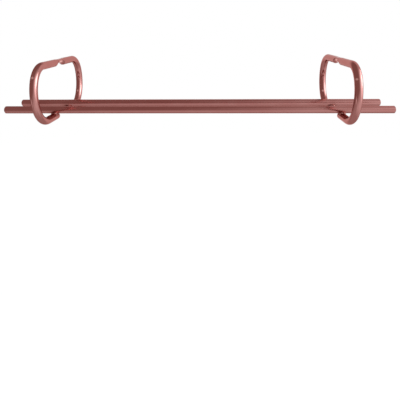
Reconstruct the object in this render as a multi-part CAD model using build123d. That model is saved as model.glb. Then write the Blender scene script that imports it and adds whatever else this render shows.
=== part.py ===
from build123d import *
import os
from math import asin, cos, degrees, radians, sin

# Hanging rack of bent round wire.
#
# Two straight rods run side by side along X as a track. What the rack stores hangs between
# them by a wide foot that rests on both. Each end of the pair is held by a loop: one length
# of the same wire, bent into a rounded frame that is open in the middle of its underside. A
# loop's two ends turn in below the rods, as a front and a rear hook, and the rods are welded
# on top of them. The rack is loaded from either end, through a loop and the gap between its
# hooks. A seat is pressed into the underside of each loop's top run, where the tip of a
# ceiling hook bears.
#
# Millimetres, +Z up, rods along X. The origin lies midway between the two hanging seats, at
# the height where the ceiling hooks bear.

# Wire: rods and loops are cut from the same stock, and the cut edges are bevelled
wire_diameter = 6.0
cut_bevel = 0.6

# Rods
rod_length = 316.0
rod_spacing = 30.0              # between the two centre lines
rod_overhang = 41.0             # from a rod's end to the loop's centre line

# Loops: sizes are on the wire's centre line
loop_width = 99.0               # across the bulge of the sides
loop_height = 43.4              # from the hooks' level run up to the top run
shoulder_radius = 17.3          # bend from the top run into the side
shoulder_angle = 70.0
hook_radius = 20.5              # bend from the side into the hook
hook_angle = 58.0
hook_gap = 21.6                 # clear way between the ends of the two hooks

# Hanging seat: a long waist pressed up into the top run's underside. It leaves a round neck in
# the middle, and the tool's shallow mark above.
seat_depth = 2.4
seat_length = 19.2
neck_diameter = 3.8
tool_mark_depth = 0.5
tool_mark_radius = 100.0
tool_mark_y = 3.0

# Resistance weld where a rod crosses a hook: the wires sink in and squeeze out a round bead
weld_sink = 0.4
weld_radius = 2.6
weld_thickness = 2.2

# How far a cutting shape runs past what it cuts
overrun = 1.0

quarter_turn = 90.0
wire_radius = wire_diameter / 2
neck_radius = neck_diameter / 2

# Heights, counted down from the seats' highest line
top_run_z = wire_radius - seat_depth
hook_z = top_run_z - loop_height
rod_z = hook_z + wire_diameter - weld_sink
weld_z = (hook_z + rod_z) / 2

# The side is one arc that takes up the turn and the height that the two bends leave
side_angle = 2 * quarter_turn - shoulder_angle - hook_angle
shoulder_drop = shoulder_radius * (1 - cos(radians(shoulder_angle)))
hook_rise = hook_radius * (1 - cos(radians(hook_angle)))
side_height_share = cos(radians(shoulder_angle)) + cos(radians(hook_angle))
side_radius = (loop_height - shoulder_drop - hook_rise) / side_height_share

# The top run is as long as the bends leave it between the two bulges
shoulder_reach = (shoulder_radius - side_radius) * sin(radians(shoulder_angle)) + side_radius
top_run_half = loop_width / 2 - shoulder_reach

# The hook's level run starts below its bend and ends at the gap
hook_reach = (hook_radius - side_radius) * sin(radians(hook_angle)) + side_radius
hook_bend_y = loop_width / 2 - hook_reach
hook_end_y = hook_gap / 2


def make_rod(y):
    """A straight rod along X with its centre line at y."""
    bar = Cylinder(wire_radius, rod_length, rotation=(0, quarter_turn, 0))
    bar = chamfer(bar.edges().filter_by(GeomType.CIRCLE), cut_bevel)
    return Pos(0, y, rod_z) * bar


def loop_centre_line():
    """The loop's centre line in its own plane, from the front hook's end to the rear one's."""
    lines = [Line((-hook_end_y, hook_z), (-hook_bend_y, hook_z))]
    bends = [(hook_radius, hook_angle), (side_radius, side_angle), (shoulder_radius, shoulder_angle)]
    for radius, angle in bends:
        lines.append(JernArc(lines[-1] @ 1, lines[-1] % 1, radius, -angle))
    lines.append(Line(lines[-1] @ 1, (top_run_half, top_run_z)))
    for radius, angle in reversed(bends):
        lines.append(JernArc(lines[-1] @ 1, lines[-1] % 1, radius, -angle))
    lines.append(Line(lines[-1] @ 1, (hook_end_y, hook_z)))
    return Plane.YZ * Wire(lines)


def make_waist():
    """What the seat takes from the wire: a ring round the neck, bulging inwards as one arc."""
    bulge_radius = ((seat_length / 2) ** 2 + seat_depth ** 2) / (2 * seat_depth)
    ring_radius = neck_radius + seat_depth + overrun
    disc = Pos(neck_radius + bulge_radius, 0) * Circle(bulge_radius)
    strip = Rectangle(ring_radius, 2 * bulge_radius, align=(Align.MIN, Align.CENTER))
    return Pos(0, 0, neck_radius) * revolve(disc & strip, Axis.Y)


def press_seat(wire):
    """Press the hanging seat up into the top run and the tool's mark down into its back."""
    width = wire_diameter + 2 * overrun
    mark_axis_z = top_run_z + wire_radius - tool_mark_depth + tool_mark_radius
    mark = Pos(0, tool_mark_y, mark_axis_z) * Cylinder(
        tool_mark_radius, width, rotation=(0, quarter_turn, 0)
    )
    return wire - make_waist() - mark


def make_weld_bead(y):
    """The round bead of weld metal where a rod at y crosses a hook, standing across X = 0."""
    latitude = degrees(asin(weld_thickness / 2 / weld_radius))
    return Pos(0, y, weld_z) * Sphere(weld_radius, arc_size1=-latitude, arc_size2=latitude)


def make_loop():
    """One loop of wire, bent, cut to length and pressed, standing across X = 0."""
    path = loop_centre_line()
    wire = sweep(Plane(path @ 0, z_dir=path % 0) * Circle(wire_radius), path)
    cut_ends = wire.faces().filter_by(GeomType.PLANE)
    wire = chamfer(cut_ends.edges(), cut_bevel)
    wire = press_seat(wire)
    for bead in weld_beads.values():
        wire = wire - bead
    return wire


loop_offset = rod_length / 2 - rod_overhang
rod_y = {"front": -rod_spacing / 2, "rear": rod_spacing / 2}
loop_x = {"left": -loop_offset, "right": loop_offset}

rods = {name: make_rod(y) for name, y in rod_y.items()}
weld_beads = {name: make_weld_bead(y) for name, y in rod_y.items()}
welds = {name: bead - rods[name] for name, bead in weld_beads.items()}
loop = make_loop()

pieces = {name + "_rod": rod for name, rod in rods.items()}
for side, x in loop_x.items():
    pieces[side + "_loop"] = Pos(x, 0, 0) * loop
    for name, weld in welds.items():
        pieces[side + "_" + name + "_weld"] = Pos(x, 0, 0) * weld

os.makedirs("parts", exist_ok=True)
for name, piece in pieces.items():
    export_step(piece, "parts/" + name + ".step")
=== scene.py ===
"""Looks of the hanging wire rack: rose gold plating, weld beads, studio and camera."""
from math import cos, radians, sin

import bmesh
import bpy
import numpy as np
from mathutils import Matrix, Vector


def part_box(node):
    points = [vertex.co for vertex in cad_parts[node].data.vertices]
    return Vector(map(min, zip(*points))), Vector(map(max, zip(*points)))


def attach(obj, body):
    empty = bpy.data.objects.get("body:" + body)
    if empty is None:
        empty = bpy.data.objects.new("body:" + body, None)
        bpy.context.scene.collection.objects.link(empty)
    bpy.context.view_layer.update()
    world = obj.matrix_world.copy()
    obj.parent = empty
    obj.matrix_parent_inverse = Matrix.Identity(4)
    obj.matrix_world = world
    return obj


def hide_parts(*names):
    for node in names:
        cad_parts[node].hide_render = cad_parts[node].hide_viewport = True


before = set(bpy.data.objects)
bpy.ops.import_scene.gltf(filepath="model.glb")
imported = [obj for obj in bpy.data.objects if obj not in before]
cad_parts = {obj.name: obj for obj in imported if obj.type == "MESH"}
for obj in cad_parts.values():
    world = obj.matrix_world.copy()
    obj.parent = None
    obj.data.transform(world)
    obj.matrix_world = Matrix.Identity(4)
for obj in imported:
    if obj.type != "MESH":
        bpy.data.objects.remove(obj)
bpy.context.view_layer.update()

MM = 0.001

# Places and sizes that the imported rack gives
RODS = ("front_rod", "rear_rod")
LOOPS = ("left_loop", "right_loop")
WELDS = ("left_front_weld", "left_rear_weld", "right_front_weld", "right_rear_weld")
rod_low, rod_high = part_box("rear_rod")
loop_low, loop_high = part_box("right_loop")
weld_low, weld_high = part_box("right_rear_weld")
wire_radius = (loop_high.x - loop_low.x) / 2
rod_half_length = rod_high.x
rod_y = (rod_low.y + rod_high.y) / 2
rod_z = (rod_low.z + rod_high.z) / 2
loop_x = (loop_low.x + loop_high.x) / 2
hook_z = loop_low.z + wire_radius
weld_z = (rod_z + hook_z) / 2
weld_radius = (weld_high.y - weld_low.y) / 2

# Distances from a wire's end over which the marks of its cut face and of its bevel fade out
FACE_FADE = (0.1 * MM, 0.2 * MM)
BEVEL_FADE = (0.5 * MM, 0.9 * MM)

# A hook's end: its distance from the middle, and the heights over which its marks fade out
HOOK_END = 10.8 * MM
HOOK_FADE = (-38 * MM, -36 * MM)

# The neck of a hanging seat: where its painted highlight fades out, to both sides, below and above
NECK_SIDE = (1.5 * MM, 5.5 * MM)
NECK_BOTTOM = (-3 * MM, -1 * MM)
NECK_TOP = (1.2 * MM, 2.4 * MM)

# Places where the bender's jaw bit the loops, painted bright there as glints, the radii over which
# a bite and its painted glint fade out, and how far its edge wanders
BITE_AND_GLINT_PLACES = (
    (-117.3 * MM, -49.0 * MM, -6.4 * MM),
    (-117.2 * MM, 43.6 * MM, -30.6 * MM),
    (115.1 * MM, -49.35 * MM, -8.2 * MM),
    (116.1 * MM, 43.4 * MM, -31.4 * MM),
)
BITE_AND_GLINT_FADE = (0.7 * MM, 1.2 * MM)
BITE_AND_GLINT_WANDER = 1.2 * MM

# The radii over which the painted shade round a weld fades out, and how far its edge wanders
WELD_SHADE_FADE = (2.4 * MM, 6.5 * MM)
WELD_SHADE_WANDER = 3 * MM

# Plating colours, linear, and the tint of its glancing reflections
ROSE_GOLD = (0.46, 0.18, 0.165, 1.0)
WORN_GOLD = (0.53, 0.25, 0.23, 1.0)
# Bright gold for the painted highlight on the seats' necks and the painted glints at the bites, and
# for the cut faces of the hooks' ends
RUBBED_GOLD_AND_HIGHLIGHT = (0.97, 0.58, 0.54, 1.0)
# Dark gold for the painted shade round the welds, and for pits and the beads' wrinkled skin
DULL_GOLD_AND_SHADE = (0.27, 0.10, 0.08, 1.0)
GLANCING_TINT = (0.78, 0.58, 0.56, 1.0)

# Even part of each plating's roughness, and the size of its drawing lines along X, Y and Z
ROD_ROUGHNESS = 0.2
LOOP_ROUGHNESS = 0.13
BEAD_ROUGHNESS = 0.1
ROD_GRAIN = (30 * MM, 0.25 * MM, 0.25 * MM)
LOOP_GRAIN = (0.25 * MM, 12 * MM, 12 * MM)
BEAD_GRAIN = (0.3 * MM, 0.3 * MM, 2 * MM)

# Heights and depths of the marks in the plating
LINE_HEIGHT = 0.01 * MM
SKIN_HEIGHT = 0.003 * MM
PIT_DEPTH = 0.004 * MM
SCUFF_HEIGHT = 0.004 * MM
SHEAR_HEIGHT = 0.03 * MM
NECK_MARK_HEIGHT = 0.003 * MM
BITE_DEPTH = 0.06 * MM
WRINKLE_HEIGHT = 0.05 * MM
BUMP_STRENGTH = 0.6

# Weld beads: points round a bead and from pole to pole, its swelling on the diagonals, the power
# that rounds it, and its half height as a share of its radius
BEAD_POINTS = (73, 33)
BEAD_SWELL = 0.125
BEAD_POWER = 0.6
BEAD_RISE = 0.36

# Studio: the rack hangs high above the floor, in a room whose walls only mirror in the metal.
# The floor's paint fades out between two distances from its middle, and its glow rises there.
FLOOR_Z = -1.65
FLOOR_RADIUS = 6.0
FLOOR_RINGS = (0.001, 0.5, 1.0)
FLOOR_POINTS = 65
FLOOR_FADE = (1.7, 2.9)
FLOOR_PAINT = 0.8
FLOOR_GLOW = 0.66
FLOOR_GLOW_RISE = 0.36
ROOM_RADIUS = 1.6
ROOM_POINTS = (97, 49)
DIFFUSE_LEVEL = 0.5
WALL_COLOUR = (0.38, 0.29, 0.27, 1.0)
COOL_WHITE = (0.78, 1.03, 1.07, 1.0)

# Patches of light on the walls: azimuth from +X, elevation, radius of the even middle and of
# the faded edge, all in degrees, and the level
WALL_LIGHTS = (
    (0, -90, 45, 78, 0.30),
    (-84, -33, 8, 42, 0.35),
    (-19, 10, 10, 79, 0.82),
    (-16, 16, 9, 44, 1.50),
    (-156, -22, 2, 12, 0.95),
)

# Openings in the walls, through which the metal mirrors the white surround behind the rack: the
# same four angles
OPENINGS = (
    (84, -2, 24, 50),
    (50, 28, 8, 35),
)

# The one lamp: azimuth and elevation in degrees, distance, width and height, and power
KEY_DIRECTION = (1, 19.5)
KEY_DISTANCE = 1.4
KEY_SIZE = (1.13, 0.72)
KEY_POWER = 7.7

# Camera: the photograph is 400 pixels square, and the lens's axis meets it above its middle
FRAME_PIXELS = 400
FOCAL_PIXELS = 403.15
AXIS_PIXEL = 94.85
SENSOR = 36.0
CLIP_START = 10 * MM
CAMERA_PLACE = Vector((16.73 * MM, -334.7 * MM, 67.79 * MM + rod_z))
CAMERA_PITCH = radians(9.855)
CAMERA_YAW = radians(-2.429)
CAMERA_ROLL = radians(-0.556)


class Signal:
    """A socket in a node tree. Arithmetic on it adds Math nodes, and make() adds any other node."""

    def __init__(self, tree, socket=None):
        self.tree = tree
        self.socket = socket

    def make(self, kind, settings=(), sockets=(), output=0):
        """Add a node of a type, apply its settings, then fill its sockets with values or links."""
        node = self.tree.nodes.new(kind)
        for name, value in dict(settings).items():
            setattr(node, name, value)
        for name, value in dict(sockets).items():
            if isinstance(value, Signal):
                self.tree.links.new(value.socket, node.inputs[name])
            else:
                node.inputs[name].default_value = value
        return Signal(self.tree, node.outputs[output])

    def math(self, operation, *values):
        """A Math node on this signal and others."""
        return self.make("ShaderNodeMath", {"operation": operation}, enumerate((self, *values)))

    def __add__(self, other):
        return self.math("ADD", other)

    __radd__ = __add__

    def __mul__(self, other):
        return self.math("MULTIPLY", other)

    __rmul__ = __mul__

    def __sub__(self, other):
        return self.math("SUBTRACT", other)

    def __rsub__(self, other):
        return (self * -1) + other

    def __abs__(self):
        return self.math("ABSOLUTE")

    def ramp(self, start, end):
        """0 before start and 1 after end, with a smooth turn between them."""
        settings = {"interpolation_type": "SMOOTHSTEP"}
        sockets = {"Value": self, "From Min": start, "From Max": end}
        return self.make("ShaderNodeMapRange", settings, sockets)

    def mix(self, low, high):
        """The colour low where this signal is 0, and high where it is 1."""
        settings = {"data_type": "RGBA"}
        return self.make("ShaderNodeMix", settings, {0: self, 6: low, 7: high}, output=2)

    def noise(self, sizes, detail=2.0):
        """Noise at this place, with its features' size along each axis in metres, from 0 to 1."""
        scaled = self.make("ShaderNodeVectorMath", {"operation": "DIVIDE"}, {0: self, 1: sizes})
        sockets = {"Vector": scaled, "Scale": 1.0, "Detail": detail}
        return self.make("ShaderNodeTexNoise", {}, sockets)

    def distance(self, point):
        """How far this vector lies from a point."""
        settings = {"operation": "DISTANCE"}
        return self.make("ShaderNodeVectorMath", settings, {0: self, 1: point}, output="Value")

    def axes(self):
        """The three parts of a vector."""
        node = self.make("ShaderNodeSeparateXYZ", {}, {0: self}).socket.node
        return [Signal(self.tree, output) for output in node.outputs]

    def into(self, node, name):
        """Link this signal to a named socket of a node."""
        self.tree.links.new(self.socket, node.inputs[name])


def new_material(name):
    """An empty material, its Principled shader and the signal that starts its nodes."""
    material = bpy.data.materials.new(name)
    material.use_nodes = True
    shader = material.node_tree.nodes["Principled BSDF"]
    return material, shader, Signal(material.node_tree)


def plated(name, roughness, grain, own_detail):
    """Rose gold plating over drawn wire, whose fine lines are long along one axis.

    roughness is the even part of the roughness, and grain the size of the drawing lines along X, Y
    and Z in metres. own_detail takes the place and returns what the piece alone has: a tint's mask,
    the tint, and what it adds to the height and to the roughness.
    """
    material, shader, start = new_material(name)
    place = start.make("ShaderNodeTexCoord", output="Object")
    x, y, z = place.axes()
    lines = place.noise(grain, detail=3.0)
    cloud = place.noise((14 * MM, 14 * MM, 14 * MM))
    skin = place.noise((0.5 * MM, 0.5 * MM, 0.5 * MM), detail=3.0)
    pits = place.noise((1.1 * MM, 1.1 * MM, 1.1 * MM)).ramp(0.66, 0.78)

    # The plating is darker round each weld, which is painted shade where the rod meets the hook,
    # and rougher there
    quarter = start.make("ShaderNodeCombineXYZ", {}, {0: abs(x), 1: abs(y), 2: z})
    from_weld = quarter.distance((loop_x, rod_y, weld_z))
    weld_shade = 1 - (from_weld + (cloud - 0.5) * WELD_SHADE_WANDER).ramp(*WELD_SHADE_FADE)

    mask, tint, own_height, own_roughness = own_detail(place)
    worn = cloud.ramp(0.35, 0.75) * 0.35
    # Painted shade round the welds, and real pits
    shade_and_pits = weld_shade * 0.35 + pits * 0.12
    colour = mask.mix(shade_and_pits.mix(worn.mix(ROSE_GOLD, WORN_GOLD), DULL_GOLD_AND_SHADE), tint)
    uneven = (cloud - 0.5) * 0.06 + (lines - 0.5) * 0.06 + weld_shade * 0.1 + pits * 0.1
    height = lines * LINE_HEIGHT + skin * SKIN_HEIGHT - pits * PIT_DEPTH + own_height
    sockets = {"Strength": BUMP_STRENGTH, "Distance": 1.0, "Height": height}
    colour.into(shader, "Base Color")
    (roughness + uneven + own_roughness).into(shader, "Roughness")
    start.make("ShaderNodeBump", {}, sockets).into(shader, "Normal")
    shader.inputs["Metallic"].default_value = 1.0
    shader.inputs["Specular Tint"].default_value = GLANCING_TINT
    return material


def shear_lines(place):
    """The lines that the shear leaves across a cut end, from 0 to 1."""
    return place.noise((5 * MM, 2.5 * MM, 0.16 * MM), detail=3.0)


def rod_marks(place):
    """Scuffs along a rod's top, where loads slide on and off, its cut ends and worn bevels."""
    x, y, z = place.axes()
    top = (z - rod_z).ramp(0.7 * wire_radius, 0.95 * wire_radius)
    scuffs = top * place.noise((9 * MM, 0.12 * MM, 0.6 * MM), detail=4.0).ramp(0.5, 0.62)
    from_end = rod_half_length - abs(x)
    face = 1 - from_end.ramp(*FACE_FADE)
    shear = face * shear_lines(place)
    bevel = 1 - from_end.ramp(*BEVEL_FADE) - face
    worn = bevel * place.noise((0.7 * MM, 0.9 * MM, 0.9 * MM)).ramp(0.3, 0.6)
    mask = scuffs * 0.5 + shear * 0.3 + worn * 0.6
    return mask, WORN_GOLD, scuffs * SCUFF_HEIGHT + shear * SHEAR_HEIGHT, mask * 0.2


def loop_marks(place):
    """Painted highlights on the seats' necks where the hooks bear, the bender's bites with painted
    glints, and cut ends.
    """
    x, y, z = place.axes()
    mark_noise = place.noise((0.8 * MM, 0.15 * MM, 0.5 * MM), detail=3.0)
    neck = (1 - abs(y).ramp(*NECK_SIDE)) * (z.ramp(*NECK_BOTTOM) - z.ramp(*NECK_TOP))
    # Painted highlight: the seat's neck is brightened in colour
    neck_highlight = neck * mark_noise.ramp(0.1, 0.45)
    wander = (place.noise((0.7 * MM, 0.7 * MM, 0.7 * MM), detail=3.0) - 0.5) * BITE_AND_GLINT_WANDER
    # Painted glints at the bender's bites, over shallow dents
    bites_and_glints = 0.0
    for bite_glint in BITE_AND_GLINT_PLACES:
        bites_and_glints = 1 - (place.distance(bite_glint) + wander).ramp(*BITE_AND_GLINT_FADE) + bites_and_glints
    face = (1 - (abs(y) - HOOK_END).ramp(*FACE_FADE)) * (1 - z.ramp(*HOOK_FADE))
    shear = face * shear_lines(place)
    mask = neck_highlight * 0.9 + bites_and_glints + shear * 0.15
    height = neck_highlight * mark_noise * NECK_MARK_HEIGHT + bites_and_glints * (mark_noise - 1) * BITE_DEPTH + shear * SHEAR_HEIGHT
    return mask, RUBBED_GOLD_AND_HIGHLIGHT, height, neck_highlight * 0.04 + bites_and_glints * 0.3


def bead_skin(place):
    """The wrinkled skin of a bead of weld metal."""
    wrinkles = place.noise((0.9 * MM, 0.9 * MM, 0.35 * MM), detail=4.0)
    skin = wrinkles.ramp(0.2, 0.8)
    return skin * 0.5, DULL_GOLD_AND_SHADE, skin * wrinkles * WRINKLE_HEIGHT, skin * 0.05


def dress(names, material):
    """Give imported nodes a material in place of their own."""
    for name in names:
        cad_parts[name].data.materials[0] = material


def make_bead(weld, turn, finish):
    """A lumpy bead of weld metal between a rod and a hook, in place of the plain one.

    Longitude goes round the upright axis and latitude from the lower pole to the upper one. The
    radius is the plain bead's, swollen on the four diagonals, where the two round wires leave room,
    with three sine waves of lumps. It falls to the poles as a power of the latitude's cosine. The
    height is the latitude's sine times a share of the radius, which doubles on the diagonals. Both
    poles lie inside the wires.
    """
    low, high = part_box(weld)
    longitude = np.linspace(0, 2 * np.pi, BEAD_POINTS[0])[:, None]
    latitude = np.linspace(-np.pi / 2, np.pi / 2, BEAD_POINTS[1])[None, :]
    diagonal = np.sin(2 * longitude) ** 2
    lumps = (
        0.030 * np.sin(3 * longitude + 1.7 * turn)
        + 0.022 * np.sin(7 * longitude - 0.9 * turn) * np.cos(3 * latitude)
        + 0.014 * np.sin(13 * longitude + 5 * latitude + turn)
    )
    taper = np.abs(np.cos(latitude)) ** BEAD_POWER
    reach = weld_radius * (1 + BEAD_SWELL * diagonal + lumps) * taper
    rise = weld_radius * (BEAD_RISE + BEAD_RISE * diagonal) * np.sin(latitude)
    points = np.stack(
        [
            (low.x + high.x) / 2 + reach * np.cos(longitude),
            (low.y + high.y) / 2 + reach * np.sin(longitude),
            weld_z + rise,
        ],
        axis=-1,
    )
    bead = closed_grid(weld.replace("weld", "bead"), points)
    bead.data.materials.append(finish)
    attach(bead, "root")
    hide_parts(weld)


def camera_turn(pitch, yaw, roll):
    """The turn of a camera that looks along +Y, pitched down, yawed right and rolled."""
    ahead = Vector((sin(yaw) * cos(pitch), cos(yaw) * cos(pitch), -sin(pitch)))
    right = Vector((cos(yaw), -sin(yaw), 0))
    up = right.cross(ahead)
    rolled_right = right * cos(roll) + up * sin(roll)
    rolled_up = up * cos(roll) - right * sin(roll)
    return Matrix((rolled_right, rolled_up, -ahead)).transposed().to_4x4()


def make_camera():
    """The photograph's camera, with the frame shifted down from the lens's axis."""
    data = bpy.data.cameras.new("camera")
    data.sensor_width = SENSOR
    data.lens = SENSOR * FOCAL_PIXELS / FRAME_PIXELS
    data.shift_y = (AXIS_PIXEL - FRAME_PIXELS / 2) / FRAME_PIXELS
    data.clip_start = CLIP_START
    camera = bpy.data.objects.new("camera", data)
    turn = camera_turn(CAMERA_PITCH, CAMERA_YAW, CAMERA_ROLL)
    camera.matrix_world = Matrix.Translation(CAMERA_PLACE) @ turn
    bpy.context.scene.collection.objects.link(camera)
    bpy.context.scene.camera = camera


def make_world():
    """A white surround for what is seen directly or mirrored, and a soft one for diffuse light."""
    world = bpy.data.worlds.new("studio")
    bpy.context.scene.world = world
    world.use_nodes = True
    background = world.node_tree.nodes["Background"]
    seen(Signal(world.node_tree)).mix(grey(DIFFUSE_LEVEL), grey(1.0)).into(background, "Color")


def grey(level):
    """A grey colour."""
    return (level, level, level, 1.0)


def seen(start):
    """1 for camera, mirror and transmission rays, and 0 for the rest."""
    names = ("Is Camera Ray", "Is Glossy Ray", "Is Transmission Ray")
    outputs = start.make("ShaderNodeLightPath").socket.node.outputs
    camera, glossy, transmission = [Signal(start.tree, outputs[name]) for name in names]
    return camera.math("MAXIMUM", glossy).math("MAXIMUM", transmission)


def mesh_object(name, points, faces):
    """An object from points and faces, shaded smooth."""
    mesh = bpy.data.meshes.new(name)
    mesh.from_pydata(points.reshape(-1, 3).tolist(), [], faces.tolist())
    mesh.shade_smooth()
    thing = bpy.data.objects.new(name, mesh)
    bpy.context.scene.collection.objects.link(thing)
    return thing


def grid_faces(rows, columns):
    """Faces of a grid of points, rows by columns, open on all sides."""
    corner = np.arange(rows * columns).reshape(rows, columns)
    ring = [corner[:-1, :-1], corner[:-1, 1:], corner[1:, 1:], corner[1:, :-1]]
    return np.stack(ring, axis=-1).reshape(-1, 4)


def closed_grid(name, points):
    """A closed surface from a grid whose last row meets its first and whose rows end in poles."""
    thing = mesh_object(name, points, grid_faces(*points.shape[:2]))
    shell = bmesh.new()
    shell.from_mesh(thing.data)
    bmesh.ops.remove_doubles(shell, verts=shell.verts, dist=0.001 * MM)
    bmesh.ops.recalc_face_normals(shell, faces=shell.faces)
    shell.to_mesh(thing.data)
    shell.free()
    return thing


def make_floor():
    """A pale round floor well below the rack. Away from the middle it fades into the surround."""
    turn = np.linspace(0, 2 * np.pi, FLOOR_POINTS)[:, None]
    reach = np.array(FLOOR_RINGS)[None, :] * FLOOR_RADIUS
    level = FLOOR_Z + 0 * reach * turn
    points = np.stack([reach * np.cos(turn), reach * np.sin(turn), level], axis=-1)
    floor = mesh_object("floor", points, grid_faces(*level.shape)[:, ::-1])
    material, shader, start = new_material("pale_floor")
    tree = material.node_tree
    tree.nodes.remove(shader)
    place = start.make("ShaderNodeTexCoord", output="Object")
    far = place.distance((0, 0, 0)).ramp(*FLOOR_FADE)
    colour = far.mix(grey(FLOOR_PAINT), grey(0.0))
    paint = start.make("ShaderNodeBsdfDiffuse", {}, {"Color": colour})
    strength = seen(start) * (FLOOR_GLOW + FLOOR_GLOW_RISE * far)
    glow = start.make("ShaderNodeEmission", {}, {"Color": grey(1.0), "Strength": strength})
    both = start.make("ShaderNodeAddShader", {}, {0: paint, 1: glow})
    both.into(tree.nodes["Material Output"], "Surface")
    floor.data.materials.append(material)


def toward(azimuth, elevation):
    """The direction at an azimuth from +X and an elevation, in degrees."""
    around, above = radians(azimuth), radians(elevation)
    return Vector((cos(above) * cos(around), cos(above) * sin(around), sin(above)))


def patch(direction, centre, inner, outer):
    """1 within the inner angle of a centre, and 0 beyond the outer one."""
    settings = {"operation": "DOT_PRODUCT"}
    sockets = {0: direction, 1: centre}
    across = direction.make("ShaderNodeVectorMath", settings, sockets, output="Value")
    return across.ramp(cos(radians(outer)), cos(radians(inner)))


def make_room():
    """The room's walls, a ball round the rack.

    Each point is the ball's radius times its direction, over longitude and latitude.
    """
    longitude = np.linspace(-np.pi, np.pi, ROOM_POINTS[0])[:, None]
    latitude = np.linspace(-np.pi / 2, np.pi / 2, ROOM_POINTS[1])[None, :]
    directions = np.stack(
        [
            np.cos(longitude) * np.cos(latitude),
            np.sin(longitude) * np.cos(latitude),
            np.sin(latitude) + 0 * longitude,
        ],
        axis=-1,
    )
    room = mesh_object("room", directions * ROOM_RADIUS, grid_faces(*directions.shape[:2]))
    material, shader, start = new_material("dim_room")
    tree = material.node_tree
    tree.nodes.remove(shader)
    place = start.make("ShaderNodeTexCoord", output="Object")
    direction = start.make("ShaderNodeVectorMath", {"operation": "NORMALIZE"}, {0: place})
    light = 0.0
    for azimuth, elevation, inner, outer, level in WALL_LIGHTS:
        light = patch(direction, toward(azimuth, elevation), inner, outer) * level + light
    opening = 0.0
    for azimuth, elevation, inner, outer in OPENINGS:
        hole = patch(direction, toward(azimuth, elevation), inner, outer)
        opening = hole.math("MAXIMUM", opening)
    wall = start.make("ShaderNodeEmission", {}, {"Color": WALL_COLOUR, "Strength": 1.0})
    lit = start.make("ShaderNodeEmission", {}, {"Color": COOL_WHITE, "Strength": light})
    both = start.make("ShaderNodeAddShader", {}, {0: wall, 1: lit})
    clear = start.make("ShaderNodeBsdfTransparent")
    surface = start.make("ShaderNodeMixShader", {}, {0: opening, 1: both, 2: clear})
    surface.into(tree.nodes["Material Output"], "Surface")
    room.data.materials.append(material)
    room.visible_camera = False
    room.visible_diffuse = False
    room.visible_shadow = False


def make_lamp():
    """A soft box that faces the rack."""
    data = bpy.data.lights.new("key", "AREA")
    data.shape = "RECTANGLE"
    data.size, data.size_y = KEY_SIZE
    data.energy = KEY_POWER
    data.color = COOL_WHITE[:3]
    lamp = bpy.data.objects.new("key", data)
    lamp.location = toward(*KEY_DIRECTION) * KEY_DISTANCE
    lamp.rotation_euler = (-lamp.location).to_track_quat("-Z", "Y").to_euler()
    lamp.visible_camera = False
    bpy.context.scene.collection.objects.link(lamp)


dress(RODS, plated("rose_gold_rods", ROD_ROUGHNESS, ROD_GRAIN, rod_marks))
dress(LOOPS, plated("rose_gold_loops", LOOP_ROUGHNESS, LOOP_GRAIN, loop_marks))
bead_finish = plated("rose_gold_beads", BEAD_ROUGHNESS, BEAD_GRAIN, bead_skin)
for turn, weld in enumerate(WELDS):
    make_bead(weld, turn, bead_finish)

bpy.context.scene.view_settings.view_transform = "Standard"
make_world()
make_floor()
make_room()
make_lamp()
make_camera()
